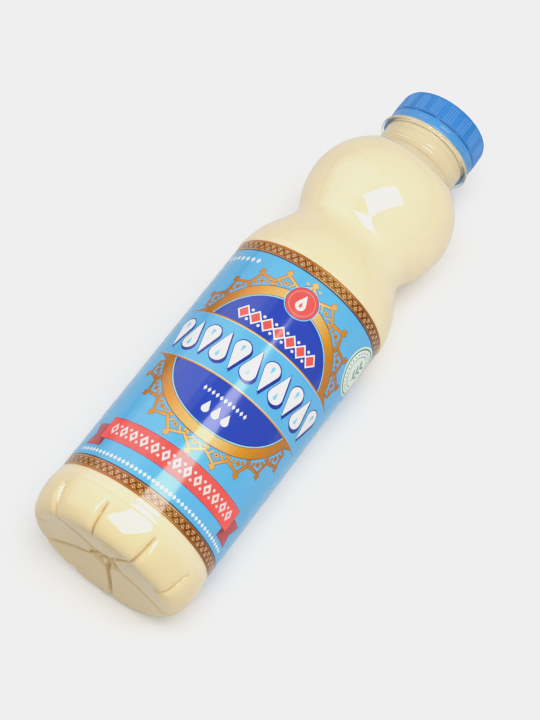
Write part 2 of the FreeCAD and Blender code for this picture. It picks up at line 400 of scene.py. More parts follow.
def crease_painted_shade(r, z):
    """1 in the bottom of creases and channels: the mask of the painted shade that darkens the filling there."""
    total = np.zeros_like(PSI)
    if z > 13.0:
        return total
    for k in range(N_LOBES):
        a = (PSI - math.radians(FIRST_VALLEY + 36.0 * k) + math.pi) % (2 * math.pi) - math.pi
        x = np.abs(a) * r
        if z < 3.7 and r < 28.0:
            if k % 2 == 0:
                t = smooth(5.5, 8.4, r) * np.clip((1.35 - x) / 0.8, 0, 1)
            else:
                t = 0.5 * smooth(24.5, 27.5, r) * np.clip(1 - x / 0.8, 0, 1)
        else:
            t = smooth(12.8, 10.4, z) * np.clip(1 - x / 0.8, 0, 1)
        total = np.maximum(total, t)
    return total


def rings_of(profile, inset):
    """Rings of points for the profile pushed inwards by inset(wall)."""
    rings = []
    n = len(profile)
    for i, (r, z, wall) in enumerate(profile):
        a, b = profile[max(i - 1, 0)], profile[min(i + 1, n - 1)]
        tr, tz = b[0] - a[0], b[1] - a[1]
        s = math.hypot(tr, tz) or 1
        nr, nz = tz / s, -tr / s
        if i == 0:
            nr, nz = 0.0, -1.0
        off = inset(wall)
        p, q = press(r, z)
        d = dent(PSI, r, z)
        # the hub's edge runs straight between the channels
        bow = 0.55 * np.cos(5 * (PSI - math.radians(FIRST_VALLEY))) * math.exp(-((r - HUB_R) / 1.6) ** 2) if r < 13 and z < 5 else 0
        rr = np.maximum(r + bow - nr * off + p * d, 0.02 if i else 0.0)
        zz = np.full_like(PSI, z) - nz * off + q * d
        rings.append((rr, zz))
    return rings


def skin(rings, verts, faces, flip=False):
    """Adds a surface of revolution, starting from a point on the axis."""
    n = len(PSI)
    base = len(verts)
    r0, z0 = rings[0]
    verts.append(place(0.0, 0.0, float(z0[0])))
    for rr, zz in rings[1:]:
        verts.extend(map(tuple, place_np(rr, PSI, zz)))
    for j in range(n):
        k = (j + 1) % n
        f = (base, base + 1 + k, base + 1 + j)
        faces.append(f[::-1] if flip else f)
    for i in range(len(rings) - 2):
        a = base + 1 + i * n
        for j in range(n):
            k = (j + 1) % n
            f = (a + j, a + k, a + n + k, a + n + j)
            faces.append(f[::-1] if flip else f)
    return base + 1 + (len(rings) - 2) * n      # first vertex of the last ring


PROFILE = meridian()


def inner_profile():
    """The cavity: body profile thinned out, then the bore."""
    body = [p for p in PROFILE if p[2] is not None]
    keep, last = [], None
    for i, p in enumerate(body):
        if i == 0 or last is None or math.hypot(p[0] - last[0], p[1] - last[1]) > 0.45:
            keep.append(p)
            last = p
    return keep


def make_shell(mat):
    verts, faces = [], []
    outer = rings_of([(r, z, w) for r, z, w in PROFILE], lambda w: 0.0)
    o_end = skin(outer, verts, faces)
    inner = rings_of(inner_profile(), lambda w: w)
    bore = [(R_NECK - 1.1, 214.9), (R_NECK - 1.5, 216.4), (R_BORE, 221.0), (R_BORE, MOUTH_Z - 0.3),
            (R_BORE + 0.3, MOUTH_Z)]
    inner += [(np.full_like(PSI, r), np.full_like(PSI, z)) for r, z in bore]
    i_end = skin(inner, verts, faces, flip=True)
    n = len(PSI)
    for j in range(n):
        k = (j + 1) % n
        faces.append((o_end + j, o_end + k, i_end + k, i_end + j))
    return new_object("bottle_clear_shell", verts, faces, [mat])


def make_milk(mat):
    verts, faces = [], []
    rings = rings_of(inner_profile(), lambda w: w - SINK)
    # mask of the painted shade in the bottom of the creases and channels
    deep = np.concatenate([np.zeros(1)] + [crease_painted_shade(r, z) for r, z, w in inner_profile()[1:]])
    s = SINK
    top = [(R_NECK - 1.1 + s, 214.9), (R_NECK - 1.5 + s, 216.4), (R_BORE + s, 221.0),
           (R_BORE + s, 228.0), (R_BORE + s, FILL_Z - 0.8), (R_BORE - 0.1, FILL_Z - 0.2),
           (R_BORE - 0.9, FILL_Z), (8.0, FILL_Z), (0.8, FILL_Z)]
    rings += [(np.full_like(PSI, r), np.full_like(PSI, z)) for r, z in top]
    end = skin(rings, verts, faces)
    tip = len(verts)
    verts.append(place(0, 0, FILL_Z))
    n = len(PSI)
    for j in range(n):
        faces.append((end + j, end + (j + 1) % n, tip))
    ob = new_object("condensed_milk_fill", verts, faces, [mat])
    values = np.zeros(len(ob.data.vertices), np.float32)
    values[:len(deep)] = deep
    ob.data.attributes.new("deep", "FLOAT", "POINT").data.foreach_set("value", values)
    return ob


# ------------------------------------------------------------------ cap
def make_cap(mat):
    na = 1440
    deg = np.arange(na) * 360.0 / na               # azimuth from the label's front
    psi = np.radians(deg + TURN)
    s0, s1 = SLIT_Z0 + 0.10, SLIT_Z0 + 0.70

    def skirt(zz):
        f = (zz - SLIT_Z0) / (CAP_TOP - CAP_RIM - SLIT_Z0)
        return CAP_R + (CAP_R_TOP - CAP_R) * max(f, 0)
    c30 = (deg - 3.0 + 15) % 30 - 15               # dashes on the band
    cs = (deg + 12.0 + 15) % 30 - 15               # bridges of the slit
    gap = np.clip((np.abs(cs) - 2.3) / 0.5, 0, 1)
    g = (deg + 0.7 + 10) % 20 - 10                 # rib groups
    rib = np.zeros(na)
    for k in range(4):
        t = np.abs(g - 3.0 * (k - 1.5)) / 0.7
        rib = np.maximum(rib, np.clip(1.3 * (1 - t ** 2), 0, 1))
    zs = [CAP_Z0, CAP_Z0 + 0.1, CAP_Z0 + 0.3, CAP_Z0 + 0.8, 227.4, 227.5, 227.62, 228.28, 228.4,
          228.52, 229.2, s0 - 0.35, s0 - 0.12, s0, s0 + 0.04, s1 - 0.04, s1, s1 + 0.12, s1 + 0.5, s1 + 0.72,
          s1 + 0.9, s1 + 1.1, s1 + 1.4, s1 + 1.9, 234.6, 236.6, 238.4, 239.0, 239.4, 239.7, 239.95]
    outer, relief_painted_light = [], []
    for z in zs:
        # painted light: 0.5 is plain; lower values paint shade into the dashes and slit, higher values paint highlight
        # on the ribs
        painted_light = np.full(na, 0.5)
        r = np.full(na, skirt(z))
        if z < CAP_Z0 + 0.5:
            r -= 0.3 * (1 - smooth(CAP_Z0, CAP_Z0 + 0.4, z)) ** 2
        if 227.45 < z < 228.45:
            dash = np.clip((6.2 - np.abs(c30)) / 0.5, 0, 1)
            r -= 0.24 * dash
            # painted shade in the pressed dashes
            painted_light -= 0.13 * dash
        if z < s0 + 0.01:
            r -= 0.12 * smooth(s0 - 0.4, s0, z)
        if s0 + 0.01 < z < s1 - 0.01:              # the tear slit, between its bridges
            r -= 0.12 + 0.72 * gap
            # painted shade inside the slit
            painted_light -= 0.5 * gap
        if z > s1 - 0.01:
            r += 0.12 * smooth(s1 - 0.02, s1 + 0.12, z) * (1 - smooth(s1 + 0.5, s1 + 0.75, z))
            up = smooth(s1 + 0.66, s1 + 1.15, z) * (1 - smooth(239.2, 239.95, z))
            r += 0.34 * rib * up
            # painted highlight on the ribs
            painted_light += 0.5 * rib * up
        outer.append((r, np.full(na, z)))
        relief_painted_light.append(painted_light)
    rim_z = CAP_TOP - CAP_RIM
    for k in range(0, 8):
        t = math.pi / 2 * k / 7
        r = CAP_R_TOP - CAP_RIM + CAP_RIM * math.cos(t)
        outer.append((np.full(na, r), np.full(na, rim_z + CAP_RIM * math.sin(t))))
    for r, z in ((18.4, CAP_TOP), (18.1, CAP_TOP - 0.03), (17.85, CAP_TOP - 0.15), (17.5, CAP_TOP - 0.18),
                 (12.0, CAP_TOP - 0.18), (4.0, CAP_TOP - 0.18)):
        outer.append((np.full(na, r), np.full(na, z)))
    inner = [(np.full(na, r), np.full(na, z)) for r, z in
             ((CAP_IN + 0.2, CAP_Z0), (CAP_IN, CAP_Z0 + 0.3), (CAP_IN, 239.2), (CAP_IN - 0.4, MOUTH_Z), (4.0, MOUTH_Z))]
    verts, faces = [], []
    for rr, zz in outer + inner:
        verts.extend(map(tuple, place_np(rr, psi, zz)))
    no, ni = len(outer), len(inner)
    for i in range(no + ni - 1):
        if i == no - 1:
            continue
        a = i * na
        for j in range(na):
            k = (j + 1) % na
            f = (a + j, a + k, a + na + k, a + na + j)
            faces.append(f if i < no else f[::-1])
    ib = no * na
    for j in range(na):
        k = (j + 1) % na
        faces.append((j, ib + j, ib + k, k))       # foot of the band
    for ring, z, flip in ((no - 1, CAP_TOP - 0.18, False), (no + ni - 1, MOUTH_Z, True)):
        tip = len(verts)
        verts.append(place(0, 0, z))
        a = ring * na
        for j in range(na):
            k = (j + 1) % na
            faces.append((a + k, a + j, tip) if flip else (a + j, a + k, tip))
    ob = new_object("screw_cap_moulded", verts, faces, [mat])
    values = np.full(len(ob.data.vertices), 0.5)
    flat = np.concatenate(relief_painted_light)
    values[:len(flat)] = flat
    ob.data.attributes.new("relief_painted_light", "FLOAT", "POINT").data.foreach_set("value", values.astype(np.float32))
    lower = np.zeros(len(values), np.float32)
    lower[:sum(z < s0 for z in zs) * na] = 1
    ob.data.attributes.new("band", "FLOAT", "POINT").data.foreach_set("value", lower)
    return ob


# ------------------------------------------------------------------ label print
HALF = math.pi * R_LABEL                          # half the way round
CX, CY = -1.0, 67.8                               # middle of the medallion


class Print:
    """Flat shapes over each other; x along the label from its front, y up it."""

    def __init__(self):
        self.items = []

    def poly(self, key, pts):
        self.items.append((key, [(float(x), float(y)) for x, y in pts]))

    def rect(self, key, x0, y0, x1, y1):
        self.poly(key, [(x0, y0), (x1, y0), (x1, y1), (x0, y1)])

    def disc(self, key, cx, cy, r, n=96, ry=None):
        ry = ry or r
        self.poly(key, [(cx + r * math.cos(2 * math.pi * k / n), cy + ry * math.sin(2 * math.pi * k / n))
                        for k in range(n)])

    def lozenge(self, key, cx, cy, w, h):
        self.poly(key, [(cx - w, cy), (cx, cy - h), (cx + w, cy), (cx, cy + h)])

    def stroke(self, key, a, b, w):
        dx, dy = b[0] - a[0], b[1] - a[1]
        s = math.hypot(dx, dy)
        px, py = -dy / s * w / 2, dx / s * w / 2
        self.poly(key, [(a[0] + px, a[1] + py), (a[0] - px, a[1] - py),
                        (b[0] - px, b[1] - py), (b[0] + px, b[1] + py)])

    def drop(self, key, cx, cy, r, h, up=1, grow=0.0, n=20):
        """Drop with round end of radius r and total height h, tip up or down."""
        R = r + grow
        H = h / 2 + grow * 1.5
        yc = -H + R
        pts = []
        tip = H
        d = tip - yc
        a0 = math.asin(min(R / d, 0.999))
        pts.append((0, tip))
        lo, hi = a0, math.pi - a0
        for k in range(n + 1):
            t = lo - (2 * math.pi - (hi - lo)) * k / n
            pts.append((R * math.cos(t), yc + R * math.sin(t)))
        self.poly(key, [(cx + x, cy + up * y) for x, y in pts])


def polar(r, deg):
    return CX + r * math.cos(math.radians(deg)), CY + r * math.sin(math.radians(deg))


def draw_label():
    p = Print()
    H = LABEL_H
    # bronze borders with a dark line on the blue side, and a braid on them
    for y0, y1, yd in ((0.0, 5.0, 5.0), (H - 5.0, H, H - 5.6)):
        p.rect("bronze", -HALF, y0, HALF, y1)
        p.rect("line", -HALF, yd, HALF, yd + 0.6)
    n = 64
    pitch = 2 * HALF / n
    for ym, s in ((2.7, 1), (H - 2.7, -1)):
        for k in range(n):
            x = -HALF + pitch * (k + 0.5)
            for xc, q in ((x, s), (x + pitch / 2, -s)):
                if abs(xc) > HALF - 1:
                    continue
                w = pitch / 2 - 0.16
                p.poly("umber", [(xc - w, ym - q * 1.75), (xc + w, ym - q * 1.75), (xc + 0.12, ym + q * 1.45), (xc - 0.12, ym + q * 1.45)])
                p.stroke("tan", (xc - 0.98, ym - q * 1.45), (xc, ym + q * 0.25), 0.36)
                p.stroke("tan", (xc, ym + q * 0.25), (xc + 0.98, ym - q * 1.45), 0.36)
                p.lozenge("cream", xc, ym - q * 1.15, 0.36, 0.46)
        p.rect("golddark", -HALF, ym - s * 2.3 - 0.12, HALF, ym - s * 2.3 + 0.12)
    # fringe of the medallion: zigzag with a lozenge on every peak
    for k in range(24):
        d = 90 + 15 * k
        px, py = polar(42.4, d)
        if 54 < py < 82.5:
            continue
        ex, ey = math.cos(math.radians(d)), math.sin(math.radians(d))
        tx, ty = -ey, ex

        def q(u, v):
            return (px + tx * u + ex * v, py + ty * u + ey * v)
        for key, g in (("golddark", 0.22), ("gold", 0.0)):
            w = 1.05 + 2 * g
            for s in (-1, 1):
                p.stroke(key, q(s * 0.3, -1.3), q(s * 5.1, -4.9), w)
                p.stroke(key, q(s * 1.6, -5.7), q(s * 3.5, -3.7), w * 0.8)
                p.poly(key, [q(s * 4.2 - 0.85 - g, -6.0), q(s * 4.2, -6.9 - g), q(s * 4.2 + 0.85 + g, -6.0), q(s * 4.2, -5.1 + g)])
            p.poly(key, [q(-1.55 - g, 0), q(0, -1.55 - g), q(1.55 + g, 0), q(0, 1.55 + g)])
            p.poly(key, [q(-1.2 - g, -4.6), q(0, -5.8 - g), q(1.2 + g, -4.6), q(0, -3.4 + g)])
        p.poly("golddark", [q(-0.5, -4.6), q(0, -5.1), q(0.5, -4.6), q(0, -4.1)])
    # ring, thin pale line, deep-blue field
    p.disc("golddark", CX, CY, 35.75, 180)
    p.disc("gold", CX, CY, 35.4, 180)
    p.disc("golddark", CX, CY, 31.45, 180)
    p.disc("pale", CX, CY, 31.2, 180)
    p.disc("navyline", CX, CY, 30.7, 180)
    p.disc("blue", CX, CY, 30.35, 180)
    # light band across, with drawn-out gold edges
    p.rect("ground", CX - 36.5, 57.3, CX + 36.5, 79.2)
    for y, s in ((79.2, 1), (57.3, -1)):
        xo = 35.75 * math.cos(math.asin((abs(y - CY) + 0.4) / 35.75))
        p.poly("golddark", [(CX - 43.6, y), (CX - xo - 3.5, y + s * 0.75), (CX - xo + 1.2, y + s * 3.1),
                            (CX - xo + 3.0, y + s * 0.9), (CX + xo - 3.0, y + s * 0.9), (CX + xo - 1.2, y + s * 3.1),
                            (CX + xo + 3.5, y + s * 0.75), (CX + 43.6, y)])
        p.poly("gold", [(CX - 42.6, y + s * 0.1), (CX - xo - 3.3, y + s * 0.6), (CX - xo + 1.3, y + s * 2.7),
                        (CX - xo + 3.0, y + s * 0.65), (CX + xo - 3.0, y + s * 0.65), (CX + xo - 1.3, y + s * 2.7),
                        (CX + xo + 3.3, y + s * 0.6), (CX + 42.6, y + s * 0.1)])
        p.poly("cream", [(CX - 40, y), (CX - 20, y + s * 0.22), (CX + 20, y + s * 0.22), (CX + 40, y)])
    # white drops with a blue shadow along the band
    n = 11
    for key, dx, dy, g in (("navy", 0.9, -0.95, 0.25), ("navy", 0.45, -0.5, 0.25), ("navy", 0, 0, 0.35), ("white", 0, 0, 0)):
        for k in range(n):
            x = -37.0 + 71.6 * k / (n - 1)
            up = 1 if k % 2 else -1
            p.drop(key, x + dx, 68.4 + dy + up * 0.15, 3.35, 13.8, up, g)
    for k in range(n):
        x = -37.0 + 71.6 * k / (n - 1)
        up = 1 if k % 2 else -1
        p.drop("sky", x, 68.4 - up * 3.2, 0.8, 3.6, up)
    # crest: red roundel with a white drop
    p.disc("pale", CX, 101.0, 7.1, 64)
    p.disc("navyline", CX, 101.0, 6.75, 64)
    p.disc("red", CX, 101.0, 6.45, 64)
    p.disc("redlight", CX, 101.0, 5.4, 64)
    p.disc("red", CX, 101.0, 5.15, 64)
    p.drop("white", CX, 101.3, 2.1, 7.2, 1)
    p.drop("red", CX, 100.3, 0.7, 2.6, 1)
    p.lozenge("gold", CX, 110.3, 1.6, 1.6)
    for s in (-1, 1):
        p.lozenge("gold", CX + s * 3.0, 109.3, 0.7, 0.7)
    # upper field: red lozenges edged white
    for k in range(7):
        x = CX - 16.5 + 33.0 * k / 6
        p.lozenge("white", x, 85.3, 3.0, 3.5)
        p.lozenge("red", x, 85.3, 2.25, 2.65)
    for k in range(6):
        x = CX - 16.5 + 33.0 * (k + 0.5) / 6
        for s in (-1, 1):
            p.disc("white", x, 85.3 + s * 2.3, 0.62, 12)
    # lower field: small white ornament
    for k in range(11):
        p.lozenge("white", CX - 9.5 + 1.9 * k, 50.2, 0.62, 1.15)
    for k in range(3):
        p.drop("white", CX - 4.6 + 4.6 * k, 44.2, 1.55, 5.4, 1)
    # red ribbon with folded tails
    for s in (-1, 1):
        def m(x, y):
            return (CX + s * x, y)
        p.poly("maroonline", [m(33.0, 20.5), m(42.3, 20.5), m(39.6, 15.5), m(41.9, 10.3), m(31.8, 10.3), m(31.8, 14.5)])
        p.poly("maroon", [m(33.0, 20.2), m(41.8, 20.2), m(39.2, 15.5), m(41.4, 10.6), m(32.1, 10.6), m(32.1, 14.5)])
        p.poly("maroondark", [m(35.2, 14.6), m(32.1, 14.6), m(32.1, 10.6)])
    p.rect("maroonline", CX - 35.4, 13.9, CX + 35.4, 24.1)
    p.rect("red", CX - 35.2, 14.2, CX + 35.2, 23.8)
    for k in range(13):
        x = CX - 30.6 + 61.2 * k / 12
        p.lozenge("rose", x, 19.0, 1.75, 2.75)
        p.lozenge("red", x, 19.0, 0.7, 1.1)
    for k in range(12):
        x = CX - 30.6 + 61.2 * (k + 0.5) / 12
        for s in (-1, 1):
            p.disc("rose", x, 19.0 + s * 1.75, 0.6, 12)
    # fine rows of dots
    for k in range(42):
        p.lozenge("white", CX - 41 + 2.0 * k, 8.1, 0.78, 1.0)
    for k in range(7):
        p.lozenge("white", -46.0 + 3.1 * k, 108.3, 1.05, 1.3)
    # round seal on the right shoulder of the label
    sx, sy = 41.8, 101.6
    p.disc("seal", sx, sy, 11.0, 72)
    p.disc("green", sx, sy, 10.3, 72)
    p.disc("seal", sx, sy, 9.5, 72)
    for k in range(28):
        a = 2 * math.pi * k / 28
        p.disc("green", sx + 8.2 * math.cos(a), sy + 8.2 * math.sin(a), 0.42, 8)
    p.disc("green", sx, sy, 6.9, 60)
    p.disc("seal", sx, sy, 6.5, 60)
    for s in (-1, 1):
        for k in range(3):
            y = sy - 3.2 + 2.6 * k
            p.poly("green", [(sx, y), (sx + s * 1.6, y + 0.4), (sx + s * 3.4, y + 2.4), (sx + s * 1.2, y + 1.9)])
    p.stroke("green", (sx, sy - 5.0), (sx, sy + 4.6), 0.5)
    # the far side: a small medallion and a pale panel
    bx, by = -79.0, 62.0
    for key, r in (("golddark", 17.3), ("gold", 17.0), ("golddark", 14.4), ("pale", 14.1), ("navyline", 13.7), ("blue", 13.4)):
        p.disc(key, bx, by, r, 96)
    p.drop("white", bx, by + 0.5, 4.6, 15.0, 1)
    p.drop("blue", bx, by - 1.8, 1.6, 6.0, 1)
    for k in range(24):
        a = 2 * math.pi * k / 24
        p.lozenge("gold", bx + 19.4 * math.cos(a), by + 19.4 * math.sin(a), 0.9, 0.9)
    for y in (27.5, 96.5):
        p.rect("golddark", bx - 19, y - 0.45, bx + 19, y + 0.45)
        p.rect("gold", bx - 18.7, y - 0.25, bx + 18.7, y + 0.25)
    x0, x1, y0, y1 = 64.0, 103.0, 18.0, 92.0
    p.rect("golddark", x0 - 0.9, y0 - 0.9, x1 + 0.9, y1 + 0.9)
    p.rect("gold", x0 - 0.6, y0 - 0.6, x1 + 0.6, y1 + 0.6)
    p.rect("panel", x0, y0, x1, y1)
    for i in range(5):
        for j in range(9):
            x, y = x0 + 3.9 + 7.8 * i, y0 + 4.2 + 8.2 * j
            p.lozenge("ground", x, y, 2.3, 2.6)
            p.lozenge("panel", x, y, 1.2, 1.35)
    return p


def make_label(mats):
    """Cuts the unrolled film along the edges of all shapes, colours the faces, rolls it up."""
    p = draw_label()
    H = LABEL_H
    coords, edges = [], []

    def loop(pts):
        b = len(coords)
        coords.extend(Vector(q) for q in pts)
        edges.extend((b + i, b + (i + 1) % len(pts)) for i in range(len(pts)))
    loop([(-HALF, 0), (HALF, 0), (HALF, H), (-HALF, H)])
    cols, rows = 144, 8
    for k in range(1, cols):
        x = -HALF + 2 * HALF * k / cols
        b = len(coords)
        coords.extend((Vector((x, 0)), Vector((x, H))))
        edges.append((b, b + 1))
    for k in range(1, rows):
        y = H * k / rows
        b = len(coords)
        coords.extend((Vector((-HALF, y)), Vector((HALF, y))))
        edges.append((b, b + 1))
    for key, pts in p.items:
        loop([(min(max(x, -HALF), HALF), min(max(y, 0), H)) for x, y in pts])
    vs, es, fs, *_ = delaunay_2d_cdt(coords, edges, [], 0, 1e-5, False)
    V2 = np.array([(v.x, v.y) for v in vs])
    V2[:, 0] = np.clip(V2[:, 0], -HALF, HALF)
    F = np.array([f for f in fs if len(f) == 3])
    A = V2[F]
    area = 0.5 * ((A[:, 1, 0] - A[:, 0, 0]) * (A[:, 2, 1] - A[:, 0, 1]) -
                  (A[:, 2, 0] - A[:, 0, 0]) * (A[:, 1, 1] - A[:, 0, 1]))
    neg = area < 0
    F[neg] = F[neg][:, ::-1]
    F = F[np.abs(area) > 1e-7]
    cen = V2[F].mean(1)
    keys = list(mats)
    idx = np.full(len(F), keys.index("ground"))
    for key, pts in p.items:
        P = np.array(pts)
        lo, hi = P.min(0), P.max(0)
        sel = np.where((cen[:, 0] >= lo[0]) & (cen[:, 0] <= hi[0]) &
                       (cen[:, 1] >= lo[1]) & (cen[:, 1] <= hi[1]))[0]
        if not len(sel):
            continue
        x, y = cen[sel, 0], cen[sel, 1]
        inside = np.zeros(len(sel), bool)
        for (xa, ya), (xb, yb) in zip(P, np.roll(P, -1, 0)):
            if ya == yb:
                continue
            cross = ((ya > y) != (yb > y)) & (x < (xb - xa) * (y - ya) / (yb - ya) + xa)
            inside ^= cross
        idx[sel[inside]] = keys.index(key)
    # weld the two ends of the film together
    key_of = {}
    remap = np.zeros(len(V2), int)
    uniq = []
    for i, (x, y) in enumerate(V2):
        k = ("s", round(y, 4)) if abs(abs(x) - HALF) < 1e-4 else i
        if k not in key_of:
            key_of[k] = len(uniq)
            uniq.append((x, y))
        remap[i] = key_of[k]
    n_out = len(uniq)
    U = np.array(uniq)
    psi = math.radians(TURN) + U[:, 0] / R_LABEL
    verts = list(map(tuple, place_np(np.full(n_out, R_LABEL), psi, LABEL_Z0 + U[:, 1])))
    faces = [tuple(int(remap[i]) for i in f) for f in F]
    uv = [[(0.5 + V2[i, 0] / (2 * HALF), V2[i, 1] / H * 0.86) for i in f] for f in F]
    mi = list(idx)
    # inner side and the two cut edges
    bot = sorted((i for i in range(n_out) if U[i, 1] < 1e-6), key=lambda i: U[i, 0])
    top = sorted((i for i in range(n_out) if U[i, 1] > H - 1e-6), key=lambda i: U[i, 0])
    back = keys.index("back")
    ri = R_LABEL - T_LABEL + 0.03
    n_in = 180
    ib = len(verts)
    for y in (0, H):
        for k in range(n_in):
            a = -math.pi + 2 * math.pi * k / n_in
            verts.append(place(ri, math.radians(TURN) + a, LABEL_Z0 + y))
    for k in range(n_in):
        m = (k + 1) % n_in
        faces.append((ib + k, ib + n_in + k, ib + n_in + m, ib + m))
        u0, u1 = k / n_in, (k + 1) / n_in
        uv.append([(u0, 0.88), (u0, 0.93), (u1, 0.93), (u1, 0.88)])
        mi.append(back)

    def edge_strip(ring, start, up, v0, v1):
        """Joins the outer cut edge (many points) to the inner one (few)."""
        xs = [U[i, 0] for i in ring]
        j = 0
        m = len(ring)
        seq = ring + [ring[0]]
        pos = xs + [xs[0] + 2 * HALF]
        for a in range(m):
            xm = (pos[a] + pos[a + 1]) / 2
            target = (xm + HALF) / (2 * HALF) * n_in
            while j < n_in and j + 0.5 < target:
                f = (seq[a], start + j % n_in, start + (j + 1) % n_in)
                faces.append(f if not up else f[::-1])
                uv.append([(pos[a] / (2 * HALF) + 0.5, v0), (j / n_in, v1), ((j + 1) / n_in, v1)][::1 if not up else -1])
                mi.append(back)
                j += 1
            f = (seq[a], start + j % n_in, seq[a + 1])
            faces.append(f if not up else f[::-1])
            uv.append([(pos[a] / (2 * HALF) + 0.5, v0), (j / n_in, v1), (pos[a + 1] / (2 * HALF) + 0.5, v0)][::1 if not up else -1])
            mi.append(back)
        while j < n_in:
            f = (seq[0], start + j % n_in, start + (j + 1) % n_in)
            faces.append(f if not up else f[::-1])
            uv.append([(1.0, v0), (j / n_in, v1), ((j + 1) / n_in, v1)][::1 if not up else -1])
            mi.append(back)
            j += 1
    edge_strip(bot, ib, False, 0.945, 0.955)
    edge_strip(top, ib + n_in, True, 0.965, 0.975)
    me = bpy.data.meshes.new("label_print")
    me.from_pydata(verts, [], faces)
    for k in keys:
        me.materials.append(mats[k])
    me.polygons.foreach_set("material_index", mi)
    me.polygons.foreach_set("use_smooth", [True] * len(faces))
    layer = me.uv_layers.new(name="OFBake")
    flat = [c for f in uv for q in f for c in q]
    layer.data.foreach_set("uv", flat)
    me.update()
    # the film is a true cylinder, so its normals are set from the axis
    normals = []
    for f in range(len(faces)):
        outer_face = f < len(F)
        for vi in faces[f]:
            if outer_face:
                a = math.radians(TURN) + U[vi, 0] / R_LABEL
                up = math.cos(a)
                normals.append((math.sin(a), up * ST, up * CT))
            else:
                normals.append((0.0, 0.0, 0.0))
    me.normals_split_custom_set(normals)
    ob = bpy.data.objects.new("label_print", me)
    bpy.context.scene.collection.objects.link(ob)
    return ob


# ------------------------------------------------------------------ materials
def clear_plastic():
    m = Mat("clear_blown_plastic")
    m.set(Base_Color=(1, 1, 1, 1), Roughness=0.03, IOR=1.43, Transmission_Weight=1.0)
    h = m.noise(55, 2, 0.45)
    m.rough(m.noise(180, 2), 0.015, 0.05)
    m.bump(h, 0.25, 0.0006)
    out = m.nt.nodes["Material Output"]
    lp = m.n("ShaderNodeLightPath")
    through = m.math("MAXIMUM", lp.outputs["Is Shadow Ray"], lp.outputs["Is Diffuse Ray"])
    tr = m.n("ShaderNodeBsdfTransparent")
    mix = m.n("ShaderNodeMixShader")
    m.link(through, mix.inputs[0])
    m.link(m.b.outputs[0], mix.inputs[1])
    m.link(tr.outputs[0], mix.inputs[2])
    m.link(mix.outputs[0], out.inputs["Surface"])
    return m.m


def milk():
    m = Mat("condensed_milk_cream")
    cloud = m.noise(26, 3, 0.5)
    col = m.ramp(cloud, [(0.3, (0.885, 0.712, 0.435)), (0.7, (0.915, 0.765, 0.505))])
    # darker and more amber towards the neck, with faint darker rings at the heights where the wall steps
    sep = m.n("ShaderNodeSeparateXYZ")
    m.link(m.coord(), sep.inputs[0])
    span = m.n("ShaderNodeMapRange")
    span.inputs["From Min"].default_value = (206.0 + SHIFT) / 1000
    span.inputs["From Max"].default_value = (226.0 + SHIFT) / 1000
    m.link(sep.outputs["Y"], span.inputs["Value"])
    base, line = (0.87, 0.86, 0.85), (0.81, 0.76, 0.68)
    stops = [(0.0, (1, 1, 1)), (0.30, (1, 1, 1)), (0.41, base)]
    for z in (215.0, 216.9, 218.6, 222.6):
        f = (z - 206.0) / 20.0
        stops += [(f - 0.022, base), (f, line), (f + 0.022, base)]
    stops += [(0.93, base), (1.0, (0.88, 0.87, 0.84))]
    low = m.n("ShaderNodeMapRange")
    low.inputs["From Min"].default_value = SHIFT / 1000
    low.inputs["From Max"].default_value = (24.0 + SHIFT) / 1000
    m.link(sep.outputs["Y"], low.inputs["Value"])
    foot_tone = m.ramp(low.outputs["Result"], [(0.0, (0.95, 0.925, 0.84)), (0.12, (0.95, 0.915, 0.81)),
                                               (0.42, (0.955, 0.92, 0.82)), (0.72, (1, 1, 1))])
    col = m.mix(1.0, col, foot_tone, "MULTIPLY")
    col = m.mix(1.0, col, m.ramp(span.outputs["Result"], stops), "MULTIPLY")
    # painted shade: the filling is multiplied darker and more amber in the bottom of creases and channels
    deep = m.n("ShaderNodeAttribute", attribute_name="deep")
    m.color(m.mix(deep.outputs["Fac"], col, m.mix(1.0, col, (0.70, 0.58, 0.42), "MULTIPLY")))
    m.set(Roughness=0.35, IOR=1.45, Subsurface_Weight=0.25, Subsurface_Scale=0.0012)
    m.b.inputs["Subsurface Radius"].default_value = (1.0, 0.7, 0.35)
    m.b.inputs["Specular IOR Level"].default_value = 0.0
    m.rough(m.noise(90, 2), 0.3, 0.42)
    return m.m


def cap_plastic():
    m = Mat("cap_moulded_plastic")
    v = m.noise(120, 3, 0.55)
    col = m.ramp(v, [(0.3, (0.028, 0.200, 0.565)), (0.7, (0.038, 0.228, 0.605))])
    band = m.n("ShaderNodeAttribute", attribute_name="band")
    col = m.mix(band.outputs["Fac"], col, (0.066, 0.292, 0.65))
    # painted light from the relief mask: darker in the dashes and slit as painted shade, lighter on the ribs as painted
    # highlight
    relief_painted_light = m.n("ShaderNodeAttribute", attribute_name="relief_painted_light")
    tone = m.ramp(relief_painted_light.outputs["Fac"], [(0.0, (0.010, 0.06, 0.20)), (0.3, (0.035, 0.18, 0.48)),
                                          (0.5, (0.5, 0.5, 0.5)), (0.8, (0.085, 0.325, 0.70)), (1.0, (0.10, 0.35, 0.73))])
    far = m.math("MULTIPLY", m.math("ABSOLUTE", m.math("SUBTRACT", relief_painted_light.outputs["Fac"], 0.5)), 2.6)
    clip = m.n("ShaderNodeClamp")
    m.link(far, clip.inputs["Value"])
    m.color(m.mix(clip.outputs[0], col, tone))
    m.set(Roughness=0.36, IOR=1.5, Subsurface_Weight=0.12, Subsurface_Scale=0.0012)
    m.b.inputs["Subsurface Radius"].default_value = (0.2, 0.6, 1.0)
    m.b.inputs["Specular IOR Level"].default_value = 0.5
    m.rough(m.noise(260, 2), 0.3, 0.42)
    m.bump(m.noise(900, 2), 0.12, 0.0002)
    return m.m


